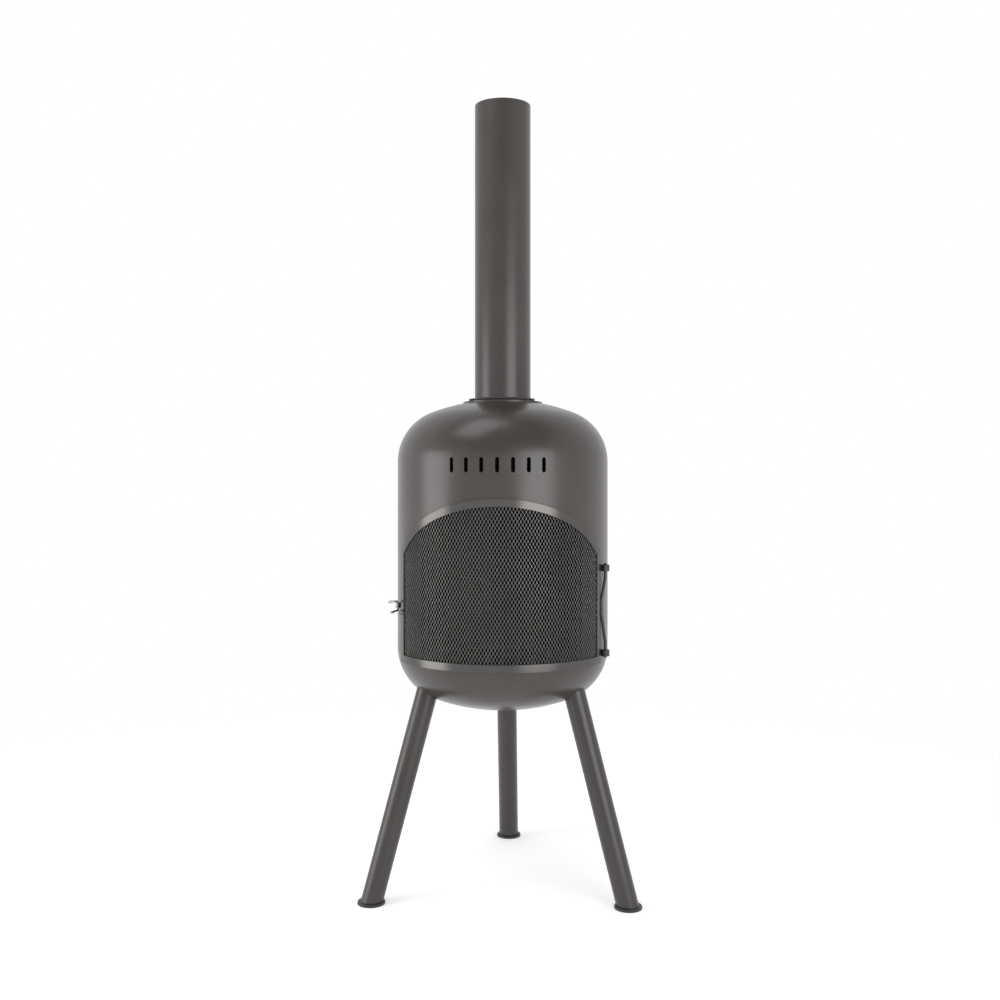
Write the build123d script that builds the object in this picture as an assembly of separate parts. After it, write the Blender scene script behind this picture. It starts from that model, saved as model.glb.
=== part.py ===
from build123d import *

import math
import os

# Garden chiminea: a round steel firebox on three splayed tube legs, with a tall flue,
# and an arched expanded-metal door hung on a bowed rod. Millimetres, +Z up, the door
# faces -Y, and Z = 0 is the ground. Azimuths are degrees from -Y towards +X.

# ---- driving dimensions -------------------------------------------------------------
BODY_R = 225.0              # outside radius of the firebox
WALL = 3.0                  # steel thickness of the firebox
KNUCKLE_R = 112.0           # outside knuckle radius of both dished ends
CROWN_R = 430.0             # outside crown radius of both dished ends
LOWER_TANGENT_Z = 505.0     # where the lower end starts to curve in
UPPER_TANGENT_Z = 899.0     # where the upper end starts to curve in
UPPER_SEAM_Z = 850.0        # weld between the rolled shell and the upper end

PIPE_R = 60.0               # outside radius of the flue
PIPE_WALL = 2.0
TOP_Z = 1663.0              # top of the flue, the full height of the object
FLANGE_R = 85.0             # outside radius of the flange at the flue's foot
FLANGE_T = 3.0
FLANGE_BOLT_R = 73.0        # radius of the flange's bolt circle
FLANGE_BOLT_AZ = (-60.0, 60.0, 180.0)

LEG_AZ = {"left": -60.0, "right": 60.0, "rear": 180.0}
FOOT_CIRCLE_R = 300.0       # leg axis to body axis, on the ground
LEG_SLOPE = 0.294           # radial travel of a leg's axis per unit of height
LEG_R = 22.5
LEG_WALL = 2.0
LEG_PLATE_T = 4.0           # end plate inside the top of a leg
LEG_BAR_TOP_Z = 480.0       # inside the firebox, where a leg's axis is cut off
FOOT_R = 28.2
FOOT_T = 6.0
FOOT_PLUG_H = 22.0          # the part of a foot that stands up inside its leg

DOOR_HALF_ARC = 254.0       # half width of the door frame, measured round the shell
DOOR_LOW_Z = 483.0
DOOR_TOP_Z = 823.0
DOOR_ARCH_R = 360.0         # radius of the arched top in the flat, before rolling
DOOR_GAP = 0.6              # closed door to shell
FRAME_T = 3.0
FRAME_W = 15.0
MESH_T = 1.8
MESH_INSET = 7.0            # edge of the mesh, in from the edge of the frame
OPENING_INSET = 4.5         # edge of the firebox's opening, in from the edge of the frame

HINGE_AZ = 68.3
HINGE_ROD_R = 3.0
HINGE_BARREL_R = 8.5
HINGE_BARREL_H = 13.4
HINGE_BARREL_Z = {"bottom": 495.9, "top": 671.6}    # underside of each barrel
HINGE_AXIS_R = 233.2
HINGE_CLEARANCE = 0.08      # radial, rod in barrel

LATCH_AZ = -69.9
LATCH_AXIS_R = 229.8
LATCH_BARREL_R = 5.0
LATCH_BARREL_Z = 592.2
LATCH_BARREL_H = 11.5
LATCH_WIRE_R = 2.0
LATCH_FINGER_Z = 587.0
LATCH_FINGER = 39.1         # latch axis to the middle of the hooked tip
LATCH_LIP = 7.0             # how far the tip turns in
LATCH_REST_AZ = -14.0       # heading of the finger when the latch is open
LATCH_TOP_Z = 606.0
LATCH_CLEARANCE = 0.08
KEEPER_AZ = -61.4
KEEPER_WIRE_R = 1.2
KEEPER_REACH_R = 237.5      # middle of the keeper's outer bar
KEEPER_HALF_H = 3.6

SLOT_COUNT = 7
SLOT_PITCH_AZ = 8.0
SLOT_H = 30.0
SLOT_W = 8.0
SLOT_Z = 890.0

GRATE_RING_R = 184.0        # middle of the ring's bar
GRATE_BAR_R = 4.0
GRATE_BAR_PITCH = 33.0
GRATE_Z = 470.0             # underside of the grate
LUG_AZ = (0.0, 120.0, -120.0)
LUG_INNER_R = 172.0
LUG_W = 25.0
LUG_T = 4.0

# The origin is the middle of the footprint, so the body's axis stands in front of it.
FOOTPRINT_FRONT = BODY_R + DOOR_GAP + FRAME_T
FOOTPRINT_REAR = FOOT_CIRCLE_R + FOOT_R
AXIS_Y = -(FOOTPRINT_REAR - FOOTPRINT_FRONT) / 2

FAR = 2000.0                # longer than anything here, for cutting tools


# ---- helpers ------------------------------------------------------------------------
def polar(azimuth, radius, z=0.0):
    """The point at an azimuth and radius from the body's axis."""
    angle = math.radians(azimuth)
    return Vector(radius * math.sin(angle), -radius * math.cos(angle), z)


def heading(azimuth):
    """The level unit direction at an azimuth."""
    return polar(azimuth, 1.0)


def rod_between(start, end, radius):
    """A solid round bar from one point to another."""
    start = Vector(start)
    run = Vector(end) - start
    return extrude(Plane(start, z_dir=run) * Circle(radius), run.length)


def tube(outer, inner, low_z, high_z):
    """An upright tube about the body's axis."""
    ring = Plane.XY.offset(low_z) * (Circle(outer) - Circle(inner))
    return extrude(ring, high_z - low_z)


def hexagon_bar(plane, across_flats, height):
    """A hexagonal head or nut, standing on a plane."""
    corner_r = across_flats / math.sqrt(3)
    return extrude(plane * RegularPolygon(corner_r, 6), height)


def save(name, *solids):
    """Write one node, moved from the body's axis to the part's origin."""
    shape = solids[0] if len(solids) == 1 else Compound(list(solids))
    export_step(Pos(0, AXIS_Y, 0) * shape, f"parts/{name}.step")


# ---- dished ends --------------------------------------------------------------------
CROWN_DROP = math.sqrt((CROWN_R - KNUCKLE_R) ** 2 - (BODY_R - KNUCKLE_R) ** 2)
CROWN_ANGLE = math.atan2(CROWN_DROP, BODY_R - KNUCKLE_R)


def head_curve(tangent_z, up, offset):
    """Outline of a dished end from its tangent line to the axis, moved out by offset."""
    knuckle = Vector(BODY_R - KNUCKLE_R, 0, tangent_z)
    crown = Vector(0, 0, tangent_z - up * CROWN_DROP)

    def spot(centre, radius, angle):
        return centre + Vector(math.cos(angle), 0, up * math.sin(angle)) * (radius + offset)

    middle = (CROWN_ANGLE + math.pi / 2) / 2
    bend = ThreePointArc(spot(knuckle, KNUCKLE_R, 0),
                         spot(knuckle, KNUCKLE_R, CROWN_ANGLE / 2),
                         spot(knuckle, KNUCKLE_R, CROWN_ANGLE))
    cap = ThreePointArc(bend @ 1,
                        spot(crown, CROWN_R, middle),
                        spot(crown, CROWN_R, math.pi / 2))
    return bend, cap


def head_layer(tangent_z, up, inner, outer, edge_z):
    """A dished layer between two offsets from the outside, with a skirt to edge_z."""
    lines = []
    ends = []
    for offset in (inner, outer):
        bend, cap = head_curve(tangent_z, up, offset)
        lines += [bend, cap]
        start = bend @ 0
        if edge_z != tangent_z:
            skirt = Line((start.X, 0, edge_z), start)
            lines.append(skirt)
            start = skirt @ 0
        ends.append((start, cap @ 1))
    lines.append(Line(ends[0][0], ends[1][0]))
    lines.append(Line(ends[0][1], ends[1][1]))
    return revolve(make_face(lines), Axis.Z)


def head_block(tangent_z, up, offset):
    """Everything inside a dished end, as one solid."""
    bend, cap = head_curve(tangent_z, up, offset)
    foot = Line((0, 0, tangent_z), bend @ 0)
    middle = Line(cap @ 1, (0, 0, tangent_z))
    return revolve(make_face([foot, bend, cap, middle]), Axis.Z)


# ---- door outline -------------------------------------------------------------------
def door_panel(inner_r, outer_r, inset):
    """A rolled plate in the door's outline, drawn in from the frame's edge by inset."""
    half_arc = DOOR_HALF_ARC - inset
    arch_r = DOOR_ARCH_R - inset
    low_z = DOOR_LOW_Z + inset
    top_z = DOOR_TOP_Z - inset
    face_r = BODY_R + DOOR_GAP
    steps = 12
    arch = []
    for step in range(steps + 1):
        arc = half_arc * (2 * step / steps - 1)
        drop = arch_r - math.sqrt(arch_r ** 2 - arc ** 2)
        arch.append((face_r * math.sin(arc / face_r), 0, top_z - drop))
    left, right = arch[0], arch[-1]
    wide = outer_r + 10
    corners = [right, (wide, 0, right[2]), (wide, 0, low_z), (-wide, 0, low_z),
               (-wide, 0, left[2]), left]
    outline = make_face([Spline(arch), Polyline(corners)])
    prism = extrude(outline, amount=wide, dir=(0, -1, 0))
    edge = math.degrees(half_arc / face_r)
    wedge_points = [(0, 0, 0), polar(-edge, 2 * wide), polar(0, 4 * wide), polar(edge, 2 * wide)]
    wedge = extrude(make_face(Polyline(wedge_points, close=True)), FAR)
    return tube(outer_r, inner_r, low_z - 1, top_z + 1) & prism & wedge


# ---- firebox ------------------------------------------------------------------------
opening = door_panel(BODY_R - 25, BODY_R + 10, OPENING_INSET)


def firebox_shell():
    """The rolled cylinder, with the door opening cut through."""
    return tube(BODY_R, BODY_R - WALL, LOWER_TANGENT_Z, UPPER_SEAM_Z) - opening


def crown_plane(azimuth, radius, offset):
    """A plane square to the upper crown, with its origin that far out from the surface."""
    centre = Vector(0, 0, UPPER_TANGENT_Z - CROWN_DROP)
    tilt = math.asin(radius / CROWN_R)
    normal = heading(azimuth) * math.sin(tilt) + Vector(0, 0, math.cos(tilt))
    return Plane(centre + normal * (CROWN_R + offset), z_dir=normal)


def flange_drill():
    """Cutters for the bolt holes through the flange and the crown."""
    return [extrude(crown_plane(azimuth, FLANGE_BOLT_R, -20) * Circle(3.3), 40)
            for azimuth in FLANGE_BOLT_AZ]


def upper_dome():
    """Upper dished end with its skirt, the flue hole and a row of plain vent slots."""
    dome = head_layer(UPPER_TANGENT_Z, 1, -WALL, 0, UPPER_SEAM_Z)
    dome -= Pos(0, 0, UPPER_TANGENT_Z) * Cylinder(PIPE_R - PIPE_WALL, 400)
    for index in range(SLOT_COUNT):
        azimuth = (index - (SLOT_COUNT - 1) / 2) * SLOT_PITCH_AZ
        face = Plane(polar(azimuth, BODY_R - 20, SLOT_Z), x_dir=(0, 0, 1), z_dir=heading(azimuth))
        dome -= extrude(face * SlotOverall(SLOT_H, SLOT_W), 40)
    for drill in flange_drill():
        dome -= drill
    return dome


# ---- legs ---------------------------------------------------------------------------
def leg_point(azimuth, z):
    """The point of a leg's axis at a height."""
    return polar(azimuth, FOOT_CIRCLE_R - LEG_SLOPE * z, z)


def seat(azimuth):
    """Where a leg's axis meets the lower end, and the surface normal there."""
    low, high = 300.0, LOWER_TANGENT_Z
    knuckle_r = BODY_R - KNUCKLE_R
    for _ in range(60):
        z = (low + high) / 2
        out = FOOT_CIRCLE_R - LEG_SLOPE * z - knuckle_r
        inside = math.hypot(out, z - LOWER_TANGENT_Z) < KNUCKLE_R
        low, high = (low, z) if inside else (z, high)
    normal = heading(azimuth) * out + Vector(0, 0, z - LOWER_TANGENT_Z)
    return leg_point(azimuth, z), normal.normalized()


def seat_plane(azimuth, offset):
    """A plane square to the lower end at a leg's seat, facing out of the firebox."""
    point, normal = seat(azimuth)
    return Plane(point + normal * offset, z_dir=normal)


LEG_BOLT_R = 5.0
LEG_BOLT_HEAD = 16.0        # across flats
HEAD_LIFT = 0.4             # clears the curve of the wall under a flat bolt head


def leg_drill(azimuth):
    return extrude(seat_plane(azimuth, -20) * Circle(LEG_BOLT_R + 0.3), 40)


def lower_dome():
    """Lower dished end, with the sill of the door opening and the leg bolt holes."""
    dome = head_layer(LOWER_TANGENT_Z, -1, -WALL, 0, LOWER_TANGENT_Z) - opening
    for azimuth in LEG_AZ.values():
        dome -= leg_drill(azimuth)
    return dome


def leg_bar(azimuth, radius, low_z):
    """A long round bar on a leg's axis, cut off level at low_z, coped to the firebox."""
    bar = rod_between(leg_point(azimuth, low_z - 60), leg_point(azimuth, LEG_BAR_TOP_Z), radius)
    bar -= Pos(0, 0, low_z - FAR / 2) * Box(FAR, FAR, FAR)
    return bar


def leg(azimuth):
    """A tube leg, cut level on its foot and coped to the dished end."""
    whole = leg_bar(azimuth, LEG_R, FOOT_T) - head_block(LOWER_TANGENT_Z, -1, 0)
    return whole - leg_bar(azimuth, LEG_R - LEG_WALL, FOOT_T - 1)


def leg_plate(azimuth):
    """End plate inside a leg's top, dished to lie flat on the firebox."""
    layer = head_layer(LOWER_TANGENT_Z, -1, 0, LEG_PLATE_T, LOWER_TANGENT_Z)
    return (layer & leg_bar(azimuth, LEG_R - LEG_WALL, 200)) - leg_drill(azimuth)


def leg_bolt(azimuth):
    """Hexagon bolt from inside the firebox, square to its wall."""
    under_head = -WALL - HEAD_LIFT
    shank = extrude(seat_plane(azimuth, under_head) * Circle(LEG_BOLT_R), 22)
    head = hexagon_bar(seat_plane(azimuth, under_head - 6.4), LEG_BOLT_HEAD, 6.4)
    return shank + head


def leg_nut(azimuth):
    """Nut welded under a leg's end plate."""
    nut = hexagon_bar(seat_plane(azimuth, LEG_PLATE_T), LEG_BOLT_HEAD, 8)
    return nut - extrude(seat_plane(azimuth, 0) * Circle(LEG_BOLT_R), 20)


def foot(azimuth):
    """Foot with a round-edged base and a plug that fits inside the leg."""
    centre = polar(azimuth, FOOT_CIRCLE_R)
    base = Pos(centre.X, centre.Y, FOOT_T / 2) * Cylinder(FOOT_R, FOOT_T)
    base = fillet(base.edges().group_by(Axis.Z)[-1], 2.6)
    base = chamfer(base.edges().group_by(Axis.Z)[0], 0.6)
    plug = leg_bar(azimuth, LEG_R - LEG_WALL - 0.1, FOOT_T)
    return base + (plug - Pos(0, 0, FOOT_T + FOOT_PLUG_H + FAR / 2) * Box(FAR, FAR, FAR))


# ---- flue ---------------------------------------------------------------------------
def flue_flange():
    """Dished ring that lies on the crown round the flue hole."""
    bore = PIPE_R - PIPE_WALL
    ring = head_layer(UPPER_TANGENT_Z, 1, 0, FLANGE_T, UPPER_TANGENT_Z)
    ring &= tube(FLANGE_R, bore, UPPER_TANGENT_Z, TOP_Z)
    for drill in flange_drill():
        ring -= drill
    return ring


def chimney_pipe():
    """Straight flue tube, its foot shaped to the flange."""
    pipe = tube(PIPE_R, PIPE_R - PIPE_WALL, UPPER_TANGENT_Z + 50, TOP_Z)
    return pipe - head_block(UPPER_TANGENT_Z, 1, FLANGE_T)


def flange_bolt(azimuth):
    """Hexagon bolt down through the flange and the crown."""
    shank = extrude(crown_plane(azimuth, FLANGE_BOLT_R, -14) * Circle(3), 14 + FLANGE_T + 1)
    head = hexagon_bar(crown_plane(azimuth, FLANGE_BOLT_R, FLANGE_T), 10, 4)
    return shank + head


def flange_nut(azimuth):
    """Nut under the crown."""
    nut = hexagon_bar(crown_plane(azimuth, FLANGE_BOLT_R, -WALL - 5.2), 10, 5)
    return nut - extrude(crown_plane(azimuth, FLANGE_BOLT_R, -20) * Circle(3), 40)


# ---- door ---------------------------------------------------------------------------
frame_inner_r = BODY_R + DOOR_GAP
frame_outer_r = frame_inner_r + FRAME_T
hinge_axis = polar(HINGE_AZ, HINGE_AXIS_R)
frame_edge_az = math.degrees(DOOR_HALF_ARC / frame_inner_r)
rod_side_az = frame_edge_az + math.degrees(HINGE_ROD_R / frame_outer_r)
rod_side = polar(rod_side_az, frame_inner_r + HINGE_ROD_R + 0.4)


def hinge_rod():
    """Bowed door rod: its ends turn in the barrels, its middle is welded to the frame."""
    end_low = HINGE_BARREL_Z["bottom"] - 3
    end_high = HINGE_BARREL_Z["top"] + HINGE_BARREL_H + 3
    heights = ((hinge_axis, end_low), (hinge_axis, 524.0), (rod_side, 584.0),
               (rod_side, 613.0), (hinge_axis, 657.0), (hinge_axis, end_high))
    points = [Vector(spot.X, spot.Y, z) for spot, z in heights]
    path = FilletPolyline(*points, radius=(18, 24, 24, 18))
    bar = sweep(Plane(points[0], z_dir=(0, 0, 1)) * Circle(HINGE_ROD_R), path=path)
    return chamfer(bar.edges().filter_by(GeomType.CIRCLE).group_by(Axis.Z)[-1], 0.8)


def door_frame(rod):
    """Flat strip frame, rolled to the shell and notched where the rod is welded on."""
    outer = door_panel(frame_inner_r, frame_outer_r, 0)
    inner = door_panel(frame_inner_r - 5, frame_outer_r + 5, FRAME_W)
    return outer - inner - rod


def latch_keeper():
    """Wire staple that stands out of the frame's left side."""
    along = heading(KEEPER_AZ)
    low = LATCH_FINGER_Z - KEEPER_HALF_H
    high = LATCH_FINGER_Z + KEEPER_HALF_H
    root_r = frame_outer_r - 1
    points = [polar(KEEPER_AZ, root_r, low), polar(KEEPER_AZ, KEEPER_REACH_R, low),
              polar(KEEPER_AZ, KEEPER_REACH_R, high), polar(KEEPER_AZ, root_r, high)]
    path = FilletPolyline(*points, radius=2.4)
    wire = sweep(Plane(points[0], z_dir=along) * Circle(KEEPER_WIRE_R), path=path)
    return wire - tube(frame_outer_r, frame_inner_r, low - 20, high + 20)


# ---- hinge barrels and latch --------------------------------------------------------
def barrel(axis, outer_r, bore_r, low_z, height):
    """Short upright tube welded to the shell, shaped to it at the back."""
    centre = Pos(axis.X, axis.Y, low_z + height / 2)
    block = centre * Cylinder(outer_r, height)
    block = chamfer(block.edges().filter_by(GeomType.CIRCLE), 0.6)
    block -= centre * Cylinder(bore_r, height * 2)
    head = head_block(LOWER_TANGENT_Z, -1, 0)
    trunk = extrude(Plane.XY.offset(LOWER_TANGENT_Z) * Circle(BODY_R), 400)
    return block - trunk - head


def hinge_barrel(place):
    return barrel(hinge_axis, HINGE_BARREL_R, HINGE_ROD_R + HINGE_CLEARANCE,
                  HINGE_BARREL_Z[place], HINGE_BARREL_H)


latch_axis = polar(LATCH_AZ, LATCH_AXIS_R)


def latch_barrel():
    return barrel(latch_axis, LATCH_BARREL_R, LATCH_WIRE_R + LATCH_CLEARANCE,
                  LATCH_BARREL_Z, LATCH_BARREL_H)


def latch_lever():
    """Bent wire that turns in the latch barrel, with a hooked finger at the bottom."""
    along = heading(LATCH_REST_AZ)
    inward = heading(LATCH_REST_AZ + 90)
    bottom = latch_axis + Vector(0, 0, LATCH_FINGER_Z)
    top = latch_axis + Vector(0, 0, LATCH_TOP_Z)
    tip = bottom + along * LATCH_FINGER
    points = [tip + inward * LATCH_LIP, tip, bottom, top, top + heading(LATCH_AZ) * 8]
    path = FilletPolyline(*points, radius=(3.0, 3.2, 3.6))
    return sweep(Plane(points[0], z_dir=-inward) * Circle(LATCH_WIRE_R), path=path)


def latch_thumb_tab(lever):
    """Leaf-shaped thumb tab on the end of the lever, standing on edge."""
    out = heading(LATCH_AZ)
    root = latch_axis + out * 5.5 + Vector(0, 0, LATCH_TOP_Z + 0.2)
    plane = Plane(root, x_dir=out + Vector(0, 0, -0.12), z_dir=heading(LATCH_AZ + 90))
    length = 16.5
    upper = ThreePointArc((0, 0), (length * 0.42, 3.2), (length, 0))
    lower = ThreePointArc((length, 0), (length * 0.42, -3.2), (0, 0))
    leaf = extrude(plane * make_face([upper, lower]), amount=1.1, both=True)
    return leaf - lever


# ---- grate --------------------------------------------------------------------------
grate_middle_z = GRATE_Z + GRATE_BAR_R


def grate_ring():
    return Pos(0, 0, grate_middle_z) * Torus(GRATE_RING_R, GRATE_BAR_R)


def grate_bars():
    """Parallel round bars inside the ring, their ends coped to it."""
    ring = grate_ring()
    count = int(GRATE_RING_R // GRATE_BAR_PITCH)
    bars = []
    for index in range(-count, count + 1):
        x = index * GRATE_BAR_PITCH
        half = math.sqrt(GRATE_RING_R ** 2 - x ** 2)
        ends = [(x, side * half, grate_middle_z) for side in (-1, 1)]
        bar = rod_between(*ends, GRATE_BAR_R - 0.5) - ring
        bars.append(max(bar.solids(), key=lambda solid: solid.volume))
    return bars


def grate_lug(azimuth):
    """Shelf bracket on the firebox wall that carries the grate."""
    plate_low = GRATE_Z - LUG_T
    side = Plane((0, 0, 0), x_dir=heading(azimuth), z_dir=heading(azimuth - 90))
    shelf = Polyline((LUG_INNER_R, plate_low), (BODY_R, plate_low), (BODY_R, GRATE_Z),
                     (LUG_INNER_R, GRATE_Z), close=True)
    web = Polyline((LUG_INNER_R + 12, plate_low), (BODY_R, plate_low), (BODY_R, plate_low - 34),
                   close=True)
    lug = extrude(side * make_face(shelf), amount=LUG_W / 2, both=True)
    lug += extrude(side * make_face(web), amount=LUG_T / 2, both=True)
    return lug & head_block(LOWER_TANGENT_Z, -1, -WALL)


# ---- write every node ---------------------------------------------------------------
os.makedirs("parts", exist_ok=True)

save("firebox_shell", firebox_shell())
save("upper_dome", upper_dome())
save("lower_dome", lower_dome())
save("flue_flange", flue_flange())
save("flange_bolts", *[flange_bolt(azimuth) for azimuth in FLANGE_BOLT_AZ])
save("flange_nuts", *[flange_nut(azimuth) for azimuth in FLANGE_BOLT_AZ])
save("chimney_pipe", chimney_pipe())

for place, azimuth in LEG_AZ.items():
    save(f"leg_{place}", leg(azimuth))
    save(f"foot_{place}", foot(azimuth))
save("leg_end_plates", *[leg_plate(azimuth) for azimuth in LEG_AZ.values()])
save("leg_bolts", *[leg_bolt(azimuth) for azimuth in LEG_AZ.values()])
save("leg_nuts", *[leg_nut(azimuth) for azimuth in LEG_AZ.values()])

for place in HINGE_BARREL_Z:
    save(f"hinge_barrel_{place}", hinge_barrel(place))
door_rod = hinge_rod()
save("hinge_rod", door_rod)
save("door_frame", door_frame(door_rod))
save("door_mesh", door_panel(frame_inner_r - MESH_T, frame_inner_r, MESH_INSET) - door_rod)
save("latch_keeper", latch_keeper())

save("latch_barrel", latch_barrel())
lever = latch_lever()
save("latch_lever", lever)
save("latch_thumb_tab", latch_thumb_tab(lever))

save("grate_ring", grate_ring())
save("grate_bars", *grate_bars())
save("grate_lugs", *[grate_lug(azimuth) for azimuth in LUG_AZ])
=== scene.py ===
import math
import random

import bmesh
import bpy
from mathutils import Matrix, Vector


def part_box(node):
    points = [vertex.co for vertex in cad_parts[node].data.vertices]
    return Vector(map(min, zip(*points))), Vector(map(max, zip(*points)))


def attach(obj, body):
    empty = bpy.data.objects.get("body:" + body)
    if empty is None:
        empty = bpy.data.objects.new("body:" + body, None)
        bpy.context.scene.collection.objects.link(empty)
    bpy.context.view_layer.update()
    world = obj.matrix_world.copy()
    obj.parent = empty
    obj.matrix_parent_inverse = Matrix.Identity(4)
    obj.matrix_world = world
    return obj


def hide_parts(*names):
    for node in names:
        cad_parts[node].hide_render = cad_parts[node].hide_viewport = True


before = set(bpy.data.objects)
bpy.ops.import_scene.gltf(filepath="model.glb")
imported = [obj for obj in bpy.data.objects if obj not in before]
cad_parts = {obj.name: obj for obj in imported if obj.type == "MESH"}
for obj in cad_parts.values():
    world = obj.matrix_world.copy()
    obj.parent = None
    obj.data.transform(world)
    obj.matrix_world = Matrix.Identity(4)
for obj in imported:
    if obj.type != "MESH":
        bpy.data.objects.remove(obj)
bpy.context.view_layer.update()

# Garden chiminea in satin anthracite paint: looks, welds and the expanded-metal door
# sheet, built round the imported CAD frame. Metres, +Z up, and the door faces -Y.
# Azimuths are degrees from -Y towards +X, about the body's axis.

MM = 0.001

# ---- places read from the frame -----------------------------------------------------
pipe_low, pipe_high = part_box("chimney_pipe")
shell_low, shell_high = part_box("firebox_shell")
door_low, door_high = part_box("door_frame")
flange_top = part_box("flue_flange")[1].z

AXIS = Vector(((pipe_low.x + pipe_high.x) / 2, (pipe_low.y + pipe_high.y) / 2, 0))
PIPE_R = (pipe_high.x - pipe_low.x) / 2
BODY_R = (shell_high.x - shell_low.x) / 2
MIDDLE_Z = (shell_low.z + shell_high.z) / 2

# ---- the flue and its flange, as the CAD model has them -----------------------------
PIPE_WALL = 2 * MM
FLANGE_CROWN_R = 433 * MM               # outside of the flange, dished like the dome

# ---- the door's outline, as the CAD model has it ------------------------------------
FRAME_T = 3 * MM
FRAME_OUTER_R = AXIS.y - door_low.y
FACE_R = FRAME_OUTER_R - FRAME_T        # back of the frame, front of the mesh
HALF_ARC = FACE_R * math.asin((door_high.x - AXIS.x) / FRAME_OUTER_R)
ARCH_R = 360 * MM                       # arched top, in the flat
ARCH_CENTRE_Z = door_high.z - ARCH_R

# ---- expanded metal -----------------------------------------------------------------
DIAMOND_W = 7.22 * MM       # across the diamond, round the shell
DIAMOND_H = 12.58 * MM      # along the diamond, upright
HOLE_HALF_W = 2.7 * MM
HOLE_HALF_H = 5.65 * MM
HOLE_FLAT = 0.8 * MM        # half of the upright flat beside each bond
HOLE_CHAMFER = 0.25 * MM    # on the front edge of each hole
SHEET_T = 1.3 * MM
SHEET_INSET = 6 * MM        # edge of the sheet, in from the edge of the frame
HOLE_INSET = 7.5 * MM       # nearest that a hole comes to the frame's edge
BLANK_INSET = 10.5 * MM     # diamonds with their middle nearer than this have no hole

# ---- welds --------------------------------------------------------------------------
BEAD_SIDES = 8
RIPPLE_DEPTH = 0.13         # of a bead's radius
UNEVENNESS = 0.05           # random share of a bead's radius
TACK_INSET = 10.5 * MM      # middle of a tack, in from the edge of the frame
TACKS_A_SIDE = 4            # of the middle one, along the foot and the arch
TACK_DIVISIONS = 4.6        # of half the width, one for each of them and some to spare
TACK_SIDES = 14
TACK_RINGS = ((2.6, 0.0), (2.3, 0.45), (1.5, 0.8), (0.6, 0.95))     # radius and rise, mm
TACK_SUNK = 0.2 * MM        # root of a tack, inside the back of the sheet
TACK_HEIGHTS = (60 * MM, 125 * MM, 190 * MM)    # on the upright strips, over the frame's foot

# ---- camera -------------------------------------------------------------------------
CAMERA_AZ = 2.8
CAMERA_DISTANCE = 2.450
CAMERA_HEIGHT = 0.867
CAMERA_LENS = 40.97         # mm
CAMERA_SENSOR = 36          # mm
CAMERA_SHIFT = (-0.0027, -0.0235)

# ---- studio -------------------------------------------------------------------------
STUDIO_WHITE = 1.0          # brightness of the surroundings
STUDIO_DIM = 0.32           # and overhead and high behind the camera
DIM_TOWARDS = (0, -0.5, 0.87)           # direction of the dim part's middle
DIM_RANGE = (0.50, 0.84)    # cosine of the angle from it, where dimming starts and ends
FLOOR_REACH = 60.0          # half of the floor's side
FLOOR_GLOW = 0.30           # keeps the floor near the object as pale as the surroundings
FLOOR_FADE = (0.5, 2.2)     # where the floor starts and ends fading into the surroundings


def polar(azimuth, radius, z):
    """The point at an azimuth and radius from the body's axis, at a height."""
    angle = math.radians(azimuth)
    return AXIS + Vector((radius * math.sin(angle), -radius * math.cos(angle), z))


def add_mesh(name, verts, faces, material, body, smooth=False):
    """A new piece from points and faces, riding a body."""
    mesh = bpy.data.meshes.new(name)
    mesh.from_pydata([tuple(v) for v in verts], [], faces)
    shape = bmesh.new()
    shape.from_mesh(mesh)
    bmesh.ops.recalc_face_normals(shape, faces=shape.faces)
    shape.to_mesh(mesh)
    shape.free()
    if smooth:
        mesh.shade_smooth()
    piece = bpy.data.objects.new(name, mesh)
    bpy.context.scene.collection.objects.link(piece)
    mesh.materials.append(material)
    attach(piece, body)
    return piece


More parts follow.
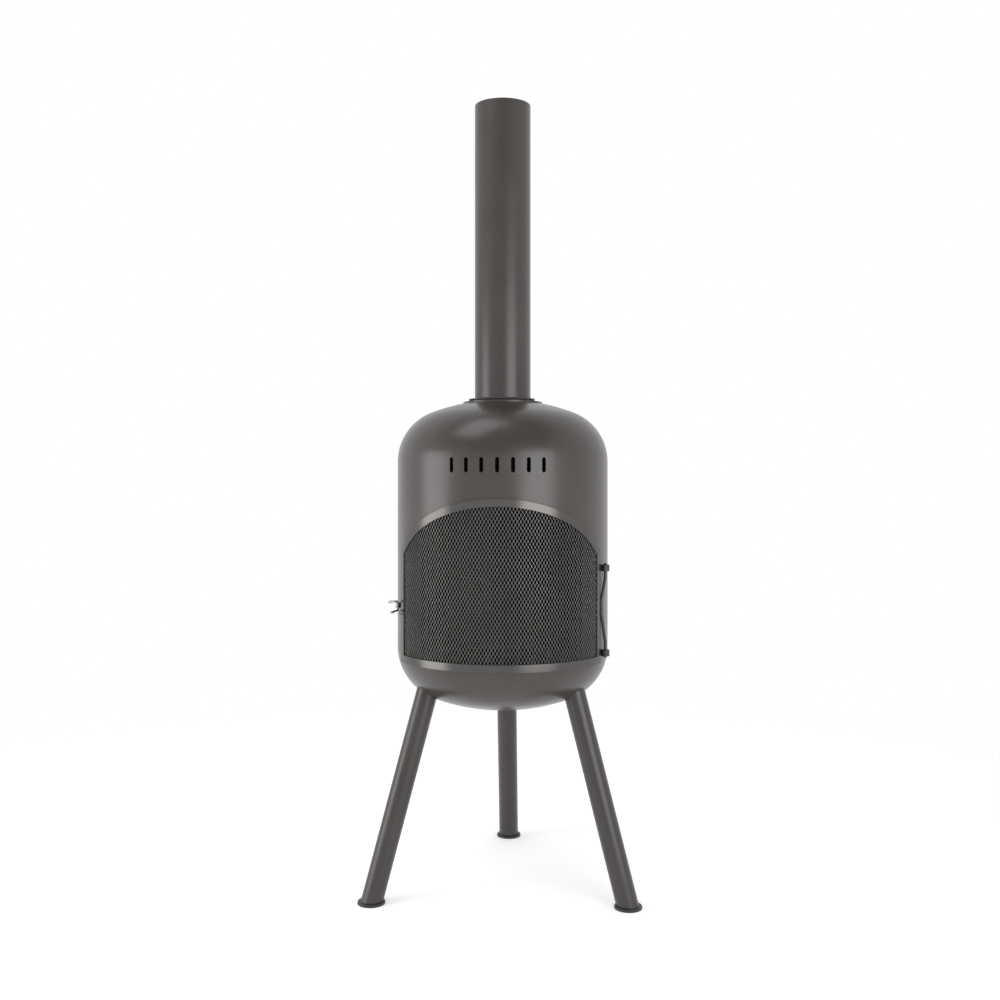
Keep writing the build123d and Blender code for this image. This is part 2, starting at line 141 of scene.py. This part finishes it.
# ---- materials ----------------------------------------------------------------------
class Shader:
    """A Principled material with its texture nodes, all in object space."""

    def __init__(self, name, metallic=0.0):
        self.material = bpy.data.materials.new(name)
        self.material.use_nodes = True
        self.tree = self.material.node_tree
        self.surface = self.tree.nodes["Principled BSDF"]
        self.surface.inputs["Metallic"].default_value = metallic
        self.place = self.tree.nodes.new("ShaderNodeTexCoord")

    def link(self, source, target):
        self.tree.links.new(source, target)

    def noise(self, size, detail, roughness=0.5):
        """Noise with features about that many metres across."""
        made = self.tree.nodes.new("ShaderNodeTexNoise")
        made.inputs["Scale"].default_value = 1 / size
        made.inputs["Detail"].default_value = detail
        made.inputs["Roughness"].default_value = roughness
        self.link(self.place.outputs["Object"], made.inputs["Vector"])
        return made.outputs["Fac"]

    def stretched_noise(self, size, stretch):
        """Noise drawn out along each axis by a factor, for streaked marks."""
        mapping = self.tree.nodes.new("ShaderNodeMapping")
        mapping.inputs["Scale"].default_value = [1 / (size * s) for s in stretch]
        self.link(self.place.outputs["Object"], mapping.inputs["Vector"])
        made = self.tree.nodes.new("ShaderNodeTexNoise")
        made.inputs["Scale"].default_value = 1.0
        made.inputs["Detail"].default_value = 3.0
        self.link(mapping.outputs["Vector"], made.inputs["Vector"])
        return made.outputs["Fac"]

    def fit(self, value, low, high, to_low, to_high):
        """A value from one range, mapped to another."""
        made = self.tree.nodes.new("ShaderNodeMapRange")
        for socket, number in zip(("From Min", "From Max", "To Min", "To Max"),
                                  (low, high, to_low, to_high)):
            made.inputs[socket].default_value = number
        self.link(value, made.inputs["Value"])
        return made.outputs["Result"]

    def blend(self, first, second, share=0.5):
        """Two values, with a fixed share of the second."""
        made = self.tree.nodes.new("ShaderNodeMix")
        made.inputs["Factor"].default_value = share
        self.link(first, made.inputs["A"])
        self.link(second, made.inputs["B"])
        return made.outputs["Result"]

    def colours(self, factor, first, second):
        """Two colours or colour outputs, mixed by a value."""
        made = self.tree.nodes.new("ShaderNodeMix")
        made.data_type = "RGBA"
        self.link(factor, made.inputs["Factor"])
        pair = made.inputs[6:8]     # A and B of a colour mix
        for socket, colour in zip(pair, (first, second)):
            if isinstance(colour, (tuple, list)):
                socket.default_value = (*colour, 1)
            else:
                self.link(colour, socket)
        return made.outputs[2]

    def values(self, factor, first, second):
        """Two values, mixed by a value."""
        made = self.tree.nodes.new("ShaderNodeMix")
        self.link(factor, made.inputs["Factor"])
        self.link(first, made.inputs["A"])
        self.link(second, made.inputs["B"])
        return made.outputs["Result"]

    def inward(self):
        """1 on faces that look in at the middle of the firebox, 0 on those that look out."""
        middle = self.tree.nodes.new("ShaderNodeVectorMath")
        middle.operation = "SUBTRACT"
        middle.inputs[1].default_value = (AXIS.x, AXIS.y, MIDDLE_Z)
        self.link(self.place.outputs["Object"], middle.inputs[0])
        dot = self.tree.nodes.new("ShaderNodeVectorMath")
        dot.operation = "DOT_PRODUCT"
        self.link(middle.outputs["Vector"], dot.inputs[0])
        self.link(self.place.outputs["Normal"], dot.inputs[1])
        return self.fit(dot.outputs["Value"], -0.02, 0.0, 1.0, 0.0)

    def depth_below(self, radius, shade_start, full):
        """A mask for painted shade: 0 down to a depth of shade_start inside a radius about the
        body's axis, 1 from full on.
        """
        flat = self.tree.nodes.new("ShaderNodeVectorMath")
        flat.operation = "MULTIPLY_ADD"
        flat.inputs[1].default_value = (1, 1, 0)
        flat.inputs[2].default_value = (-AXIS.x, -AXIS.y, 0)
        self.link(self.place.outputs["Object"], flat.inputs[0])
        reach = self.tree.nodes.new("ShaderNodeVectorMath")
        reach.operation = "LENGTH"
        self.link(flat.outputs["Vector"], reach.inputs[0])
        return self.fit(reach.outputs["Value"], radius - full, radius - shade_start, 1.0, 0.0)

    def bump(self, height, depth):
        """Relief of that many metres, from a value."""
        made = self.tree.nodes.new("ShaderNodeBump")
        made.inputs["Distance"].default_value = depth
        self.link(height, made.inputs["Height"])
        self.link(made.outputs["Normal"], self.surface.inputs["Normal"])

    def colour(self, value):
        self.link(value, self.surface.inputs["Base Color"])

    def roughness(self, value):
        self.link(value, self.surface.inputs["Roughness"])

    def shine(self, value):
        self.link(value, self.surface.inputs["Specular IOR Level"])


def shaded(colour, factor):
    """A colour, made lighter or darker by a factor."""
    return tuple(channel * factor for channel in colour)


def paint(name, colour, roughness, metallic=0.0, grain=1.1 * MM, depth=0.05 * MM,
          inside_shade=None, depth_shade=None):
    """Sprayed satin paint with soft blotches and a fine grain.

    inside_shade is the near-black colour, laid on in streaks, of the painted shade on faces that
    look in at the firebox.
    depth_shade is the radius and the two depths of depth_below(), where the paint turns to the
    near-black of painted shade.
    """
    made = Shader(name, metallic=metallic)
    blotch = made.noise(95 * MM, detail=3)
    speck = made.noise(grain, detail=3, roughness=0.65)
    tone = made.blend(blotch, speck, 0.45)
    outside = made.colours(made.fit(tone, 0.3, 0.7, 0, 1), shaded(colour, 0.84),
                           shaded(colour, 1.16))
    gloss = made.fit(made.blend(blotch, speck, 0.6), 0.3, 0.7, roughness - 0.05,
                     roughness + 0.06)
    # Faces that look in at the firebox: painted shade, a near-black colour laid on in streaks,
    # with less shine.
    if inside_shade:
        inside_streaks = made.stretched_noise(26 * MM, (1, 1, 3))
        inside = made.colours(made.fit(inside_streaks, 0.3, 0.7, 0, 1), shaded(inside_shade, 0.6),
                              shaded(inside_shade, 1.3))
        mask = made.inward()
        outside = made.colours(mask, outside, inside)
        gloss = made.values(mask, gloss, made.fit(inside_streaks, 0.3, 0.7, 0.45, 0.65))
        made.shine(made.fit(mask, 0, 1, 0.5, INSIDE_SHINE))
    # Deeper into the mesh than its front face: painted shade, near-black on the hole walls and on
    # the back.
    if depth_shade:
        outside = made.colours(made.depth_below(*depth_shade), outside, DEPTH_SHADE_COLOUR)
    made.colour(outside)
    made.roughness(gloss)
    made.bump(speck, depth)
    return made.material


def cast_grain(name, colour, roughness, grain, depth, metallic=0.0, tint=None,
               tint_size=30 * MM):
    """Bare or moulded stuff: a grain, a tint that comes and goes, and uneven gloss."""
    made = Shader(name, metallic=metallic)
    speck = made.noise(grain, detail=4, roughness=0.6)
    stain = made.noise(tint_size, detail=4, roughness=0.6)
    base = made.colours(made.fit(speck, 0.3, 0.7, 0, 1), shaded(colour, 0.75),
                        shaded(colour, 1.25))
    if tint:
        base = made.colours(made.fit(stain, 0.5, 0.72, 0, 1), base, tint)
    made.colour(base)
    made.roughness(made.fit(made.blend(speck, stain), 0.3, 0.7, roughness - 0.08,
                            roughness + 0.1))
    made.bump(speck, depth)
    return made.material


ANTHRACITE = (0.0425, 0.0365, 0.0338)
# Painted shade: a near-black colour and less shine for the faces inside the firebox, and a
# near-black colour deep in the mesh.
INSIDE_SHADE_COLOUR = (0.0065, 0.0062, 0.006)
DEPTH_SHADE_COLOUR = (0.006, 0.0057, 0.0055)
INSIDE_SHINE = 0.14

# The inside faces of the shell and the flue carry near-black painted shade.
shell_paint = paint("shell_satin", ANTHRACITE, 0.28, inside_shade=INSIDE_SHADE_COLOUR)
# The flue and the legs take darker copies of the shell's paint: painted shade.
flue_paint = paint("flue_satin", shaded(ANTHRACITE, 0.90), 0.28, inside_shade=shaded(INSIDE_SHADE_COLOUR, 0.8))
leg_paint = paint("leg_satin", shaded(ANTHRACITE, 0.80), 0.31)
frame_paint = paint("frame_satin", (0.094, 0.090, 0.087), 0.19, metallic=0.8, grain=1.5 * MM,
                    depth=0.10 * MM)
# Below its front face the mesh's paint turns near-black: painted shade in the holes and on the
# back.
mesh_paint = paint("mesh_satin", (0.200, 0.190, 0.181), 0.34, metallic=0.3, grain=0.7 * MM,
                   depth_shade=(FACE_R, 0.1 * MM, 0.55 * MM))
hinge_paint = paint("hinge_black", (0.018, 0.017, 0.017), 0.33, grain=0.8 * MM)
plated = cast_grain("zinc_plate", (0.24, 0.24, 0.235), 0.28, 0.6 * MM, 0.02 * MM, metallic=1.0,
                    tint=(0.15, 0.146, 0.138), tint_size=6 * MM)
fastener = cast_grain("black_oxide", (0.07, 0.066, 0.062), 0.40, 0.7 * MM, 0.03 * MM,
                      metallic=0.7, tint=(0.10, 0.085, 0.07), tint_size=5 * MM)
foot_rubber = cast_grain("moulded_black", (0.016, 0.016, 0.016), 0.45, 0.5 * MM, 0.04 * MM)
grate_steel = cast_grain("scaled_steel", (0.045, 0.041, 0.038), 0.62, 1.6 * MM, 0.25 * MM,
                         metallic=0.5, tint=(0.075, 0.045, 0.03))

FINISHES = {
    shell_paint: ("firebox_shell", "upper_dome", "lower_dome"),
    flue_paint: ("chimney_pipe", "flue_flange"),
    leg_paint: ("leg_left", "leg_right", "leg_rear", "leg_end_plates"),
    frame_paint: ("door_frame",),
    hinge_paint: ("hinge_barrel_top", "hinge_barrel_bottom", "hinge_rod"),
    plated: ("latch_barrel", "latch_lever", "latch_thumb_tab", "latch_keeper"),
    fastener: ("flange_bolts", "flange_nuts", "leg_bolts", "leg_nuts"),
    foot_rubber: ("foot_left", "foot_right", "foot_rear"),
    grate_steel: ("grate_ring", "grate_bars", "grate_lugs"),
}
for finish, names in FINISHES.items():
    for name in names:
        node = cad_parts[name]
        node.data.materials.clear()
        node.data.materials.append(finish)


# ---- expanded-metal sheet -----------------------------------------------------------
def room_inside(arc, z):
    """How far a spot of the flat door sheet is inside the frame's outline."""
    return min(HALF_ARC - abs(arc), z - door_low.z, ARCH_R - math.hypot(arc, z - ARCH_CENTRE_Z))


def held_inside(arc, z, inset):
    """The spot, moved in where it would be nearer than inset to the outline."""
    arc = max(inset - HALF_ARC, min(HALF_ARC - inset, arc))
    arch_z = ARCH_CENTRE_Z + math.sqrt((ARCH_R - inset) ** 2 - arc ** 2)
    return arc, max(door_low.z + inset, min(arch_z, z))


def expanded_sheet():
    """Diamond lattice rolled to the shell, each hole with its walls and a front chamfer."""
    verts = []
    faces = []
    index = {}
    edges = {}
    half_w = DIAMOND_W / 2
    half_h = DIAMOND_H / 2
    corners = ((0, half_h), (-half_w, 0), (0, -half_h), (half_w, 0))
    outline = ((0, HOLE_HALF_H), (-HOLE_HALF_W, HOLE_FLAT), (-HOLE_HALF_W, -HOLE_FLAT),
               (0, -HOLE_HALF_H), (HOLE_HALF_W, -HOLE_FLAT), (HOLE_HALF_W, HOLE_FLAT))

    def spot(arc, z, depth, inset):
        """The number of the point at a place of the sheet, made when it is first asked for."""
        arc, z = held_inside(arc, z, inset)
        key = (round(arc, 6), round(z, 6), round(depth, 6))
        if key not in index:
            index[key] = len(verts)
            turn = math.degrees(arc / FACE_R)
            verts.append(polar(turn, FACE_R - depth, z))
        return index[key]

    def ring(points, centre, depth, inset, grow=0.0):
        """Points round a diamond or a hole, moved out by grow."""
        made = []
        for x, y in points:
            x += math.copysign(grow, x) if x else 0
            y += math.copysign(grow, y)
            made.append(spot(centre[0] + x, centre[1] + y, depth, inset))
        return made

    def face(*corner_ids):
        """A face, unless points held inside the outline have closed it up."""
        kept = [v for i, v in enumerate(corner_ids) if v != corner_ids[i - 1]]
        if len(set(kept)) >= 3:
            faces.append(kept)

    def cover(rim, hole):
        """Faces from a diamond's four corners to the six points of its hole."""
        top, left, bottom, right = rim
        face(top, left, hole[1], hole[0])
        face(left, hole[2], hole[1])
        face(left, bottom, hole[3], hole[2])
        face(bottom, right, hole[4], hole[3])
        face(right, hole[5], hole[4])
        face(right, top, hole[0], hole[5])

    def wall(near, far):
        """Faces between two rings of points."""
        for i in range(len(near)):
            face(near[i - 1], near[i], far[i], far[i - 1])

    columns = int(HALF_ARC / half_w) + 1
    rows = int((door_high.z - door_low.z) / half_h) + 1
    for row in range(rows):
        for column in range(-columns, columns + 1):
            if (row + column) % 2:
                continue
            centre = (column * half_w, door_low.z + SHEET_INSET + row * half_h)
            room = room_inside(*centre)
            if room < SHEET_INSET:
                continue
            front = ring(corners, centre, 0, SHEET_INSET)
            back = ring(corners, centre, SHEET_T, SHEET_INSET)
            # an edge shared by two diamonds isn't on the sheet's rim
            for i in range(4):
                key = (front[i - 1], front[i])
                if key[::-1] in edges:
                    del edges[key[::-1]]
                else:
                    edges[key] = (back[i - 1], back[i])
            if room < BLANK_INSET:
                face(*front)
                face(*back)
                continue
            lip = ring(outline, centre, 0, HOLE_INSET - HOLE_CHAMFER, HOLE_CHAMFER)
            edge = ring(outline, centre, HOLE_CHAMFER, HOLE_INSET)
            rear = ring(outline, centre, SHEET_T, HOLE_INSET)
            cover(front, lip)
            wall(lip, edge)
            wall(edge, rear)
            cover(back, rear)
    for front_edge, back_edge in edges.items():
        face(front_edge[0], front_edge[1], back_edge[1], back_edge[0])
    sheet = add_mesh("expanded_metal", verts, faces, mesh_paint, "door")
    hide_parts("door_mesh")


expanded_sheet()


# ---- weld beads ---------------------------------------------------------------------
def bead(name, path, radius, material, body, closed=False, ripple=1.6 * MM, seed=1):
    """A weld bead along a path: a rippled, slightly uneven tube with rounded ends."""
    draw = random.Random(seed)
    lengths = [0.0]
    for near, far in zip(path, path[1:]):
        lengths.append(lengths[-1] + (far - near).length)
    total = lengths[-1]
    verts = []
    faces = []
    count = len(path)
    for i, point in enumerate(path):
        ahead = path[(i + 1) % count] if closed or i + 1 < count else point
        behind = path[i - 1] if closed or i else point
        along = (ahead - behind).normalized()
        across = along.orthogonal().normalized()
        if abs(along.z) < 0.9:      # away from upright, all rings lie the same way round
            across = along.cross(Vector((0, 0, 1))).normalized()
        other = along.cross(across)
        wave = 1 + RIPPLE_DEPTH * math.cos(2 * math.pi * lengths[i] / ripple)
        wave += draw.uniform(-UNEVENNESS, UNEVENNESS)
        taper = 1.0
        if not closed:
            from_end = min(lengths[i], total - lengths[i]) / radius
            taper = math.sqrt(max(0.02, 1 - max(0.0, 1 - from_end) ** 2))
        for side in range(BEAD_SIDES):
            angle = 2 * math.pi * side / BEAD_SIDES
            arm = across * math.cos(angle) + other * math.sin(angle)
            verts.append(point + arm * radius * wave * taper)
    spans = count if closed else count - 1
    for i in range(spans):
        ring = i * BEAD_SIDES
        following = ((i + 1) % count) * BEAD_SIDES
        for side in range(BEAD_SIDES):
            beside = (side + 1) % BEAD_SIDES
            faces.append((ring + side, ring + beside, following + beside, following + side))
    if not closed:
        faces.append(tuple(range(BEAD_SIDES)))
        faces.append(tuple(range((count - 1) * BEAD_SIDES, count * BEAD_SIDES)))
    add_mesh(name, verts, faces, material, body, smooth=True)


def straight(start, end, step=0.4 * MM):
    """Evenly spaced points from one place to another."""
    count = max(4, round((end - start).length / step))
    return [start.lerp(end, i / count) for i in range(count + 1)]


def flue_weld():
    """Bead round the foot of the flue, on its flange."""
    bead_r = 2.2 * MM
    count = 720
    bore_r = PIPE_R - PIPE_WALL
    crown_z = flange_top - math.sqrt(FLANGE_CROWN_R ** 2 - bore_r ** 2)
    z = crown_z + math.sqrt(FLANGE_CROWN_R ** 2 - PIPE_R ** 2) + 0.6 * bead_r
    path = [polar(360 * i / count, PIPE_R + 0.35 * bead_r, z) for i in range(count)]
    bead("flue_weld", path, bead_r, flue_paint, "pot", closed=True,
         ripple=3.2 * MM)


def barrel_welds(name, low, high, reach, radius, material):
    """Beads down both sides of a barrel where it stands on the shell, reach from its middle."""
    middle = (low + high) / 2 - AXIS
    azimuth = math.degrees(math.atan2(middle.x, -middle.y))
    for side in (-1, 1):
        turned = azimuth + side * math.degrees(reach / BODY_R)
        start = polar(turned, BODY_R + 0.3 * radius, max(low.z, shell_low.z) + radius)
        end = polar(turned, BODY_R + 0.3 * radius, high.z - radius)
        bead(f"{name}_weld_{'a' if side < 0 else 'b'}", straight(start, end), radius, material,
             "pot", seed=side + 5)


def rod_weld():
    """Two short beads between the door's bowed rod and the edge of its frame."""
    length = 10 * MM
    rod_low, rod_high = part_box("hinge_rod")
    middle_z = (rod_low.z + rod_high.z) / 2
    edge = math.degrees(HALF_ARC / FACE_R)
    for label, offset in (("low", -9 * MM), ("high", 9 * MM)):
        start = polar(edge - 0.1, FRAME_OUTER_R + 0.4 * MM, middle_z + offset)
        end = start + Vector((0, 0, length))
        bead(f"rod_weld_{label}", straight(start, end), 1.5 * MM, hinge_paint, "door",
             seed=11)


def seam_weld():
    """Upright seam of the rolled shell, ground nearly flush, at the back."""
    bead_r = 1.7 * MM
    middle_r = BODY_R - 1.1 * MM
    start = polar(180, middle_r, shell_low.z)
    end = polar(180, middle_r, shell_high.z)
    bead("shell_seam", straight(start, end, 0.8 * MM), bead_r, shell_paint, "pot",
         ripple=3.4 * MM, seed=3)


def mesh_tacks():
    """Spot-weld dimples where the sheet is fixed to the back of the frame."""
    spots = []
    half = HALF_ARC - TACK_INSET
    for i in range(-TACKS_A_SIDE, TACKS_A_SIDE + 1):
        arc = half * i / TACK_DIVISIONS
        arch_z = ARCH_CENTRE_Z + math.sqrt((ARCH_R - TACK_INSET) ** 2 - arc ** 2)
        spots.append((arc, door_low.z + TACK_INSET))
        spots.append((arc, arch_z))
    for side in (-1, 1):
        for height in TACK_HEIGHTS:
            spots.append((side * half, door_low.z + height))
    verts = []
    faces = []
    for arc, z in spots:
        base = len(verts)
        for reach, rise in TACK_RINGS:
            radius = FACE_R - SHEET_T + TACK_SUNK - rise * MM
            for side in range(TACK_SIDES):
                angle = 2 * math.pi * side / TACK_SIDES
                turn = math.degrees((arc + reach * MM * math.cos(angle)) / FACE_R)
                verts.append(polar(turn, radius, z + reach * MM * math.sin(angle)))
        last = base + (len(TACK_RINGS) - 1) * TACK_SIDES
        for near in range(base, last, TACK_SIDES):
            far = near + TACK_SIDES
            for side in range(TACK_SIDES):
                beside = (side + 1) % TACK_SIDES
                faces.append((near + side, near + beside, far + beside, far + side))
        faces.append(tuple(range(base, base + TACK_SIDES)))
        faces.append(tuple(range(last, last + TACK_SIDES)))
    add_mesh("mesh_tacks", verts, faces, mesh_paint, "door", smooth=True)


flue_weld()
for place in ("top", "bottom"):
    low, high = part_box(f"hinge_barrel_{place}")
    barrel_welds(f"hinge_{place}", low, high, 3.6 * MM, 1.5 * MM, hinge_paint)
low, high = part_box("latch_barrel")
barrel_welds("latch", low, high, 2.4 * MM, 1.0 * MM, shell_paint)
rod_weld()
seam_weld()
mesh_tacks()


# ---- stage --------------------------------------------------------------------------
def floor():
    """A plain pale floor that fades into the surroundings far from the object."""
    square = ((-1, -1), (1, -1), (1, 1), (-1, 1))
    mesh = bpy.data.meshes.new("studio_floor")
    mesh.from_pydata([(x * FLOOR_REACH, y * FLOOR_REACH, 0) for x, y in square], [],
                     [(0, 1, 2, 3)])
    piece = bpy.data.objects.new("studio_floor", mesh)
    bpy.context.scene.collection.objects.link(piece)
    material = bpy.data.materials.new("pale_floor")
    material.use_nodes = True
    tree = material.node_tree
    surface = tree.nodes["Principled BSDF"]
    surface.inputs["Base Color"].default_value = (0.9, 0.9, 0.9, 1)
    surface.inputs["Roughness"].default_value = 0.9
    surface.inputs["Specular IOR Level"].default_value = 0.1
    surface.inputs["Emission Color"].default_value = (1, 1, 1, 1)
    surface.inputs["Emission Strength"].default_value = FLOOR_GLOW
    away = tree.nodes.new("ShaderNodeVectorMath")
    away.operation = "LENGTH"
    tree.links.new(tree.nodes.new("ShaderNodeTexCoord").outputs["Object"], away.inputs[0])
    far = tree.nodes.new("ShaderNodeEmission")
    far.inputs["Strength"].default_value = STUDIO_WHITE
    fade = tree.nodes.new("ShaderNodeMapRange")
    fade.interpolation_type = "SMOOTHSTEP"
    fade.inputs["From Min"].default_value = FLOOR_FADE[0]
    fade.inputs["From Max"].default_value = FLOOR_FADE[1]
    tree.links.new(away.outputs["Value"], fade.inputs["Value"])
    both = tree.nodes.new("ShaderNodeMixShader")
    tree.links.new(fade.outputs["Result"], both.inputs["Fac"])
    tree.links.new(surface.outputs["BSDF"], both.inputs[1])
    tree.links.new(far.outputs["Emission"], both.inputs[2])
    tree.links.new(both.outputs["Shader"], tree.nodes["Material Output"].inputs["Surface"])
    mesh.materials.append(material)


def softbox(name, azimuth, distance, place_z, aim_z, width, height, glow):
    """A flat soft light of an even glow, at an azimuth from the camera, facing the body's axis."""
    data = bpy.data.lights.new(name, "AREA")
    data.shape = "RECTANGLE"
    data.size = width
    data.size_y = height
    data.energy = glow * math.pi * width * height
    lamp = bpy.data.objects.new(name, data)
    bpy.context.scene.collection.objects.link(lamp)
    lamp.location = polar(CAMERA_AZ + azimuth, distance, place_z)
    towards = AXIS + Vector((0, 0, aim_z)) - lamp.location
    lamp.rotation_euler = towards.to_track_quat("-Z", "Y").to_euler()


def sky():
    """White surroundings, dimmer overhead and high behind the camera, as under a ceiling."""
    world = bpy.data.worlds.new("studio")
    world.use_nodes = True
    tree = world.node_tree
    towards = tree.nodes.new("ShaderNodeVectorMath")
    towards.operation = "DOT_PRODUCT"
    towards.inputs[1].default_value = DIM_TOWARDS
    tree.links.new(tree.nodes.new("ShaderNodeTexCoord").outputs["Generated"], towards.inputs[0])
    shade = tree.nodes.new("ShaderNodeMapRange")
    shade.interpolation_type = "SMOOTHSTEP"
    for socket, number in zip(("From Min", "From Max", "To Min", "To Max"),
                              (*DIM_RANGE, STUDIO_WHITE, STUDIO_DIM)):
        shade.inputs[socket].default_value = number
    tree.links.new(towards.outputs["Value"], shade.inputs["Value"])
    tree.links.new(shade.outputs["Result"], tree.nodes["Background"].inputs["Strength"])
    tree.nodes["Background"].inputs["Color"].default_value = (1, 1, 1, 1)
    bpy.context.scene.world = world


def camera():
    """A level camera facing the body's axis, with a small shift."""
    data = bpy.data.cameras.new("studio_camera")
    data.lens = CAMERA_LENS
    data.sensor_width = CAMERA_SENSOR
    data.shift_x, data.shift_y = CAMERA_SHIFT
    made = bpy.data.objects.new("studio_camera", data)
    bpy.context.scene.collection.objects.link(made)
    made.location = polar(CAMERA_AZ, CAMERA_DISTANCE, CAMERA_HEIGHT)
    made.rotation_euler = (math.radians(90), 0, math.radians(CAMERA_AZ))
    bpy.context.scene.camera = made


floor()
sky()
softbox("right_softbox", azimuth=35.2, distance=2.0, place_z=0.900, aim_z=0.900,
        width=1.25, height=1.34, glow=3.3)
softbox("left_softbox", azimuth=-73.5, distance=2.0, place_z=0.705, aim_z=0.705,
        width=1.10, height=1.35, glow=3.3)
softbox("overhead_softbox", azimuth=-49, distance=0.87, place_z=2.75, aim_z=0.95,
        width=0.95, height=1.55, glow=2.7)
camera()
bpy.context.scene.view_settings.view_transform = "Standard"
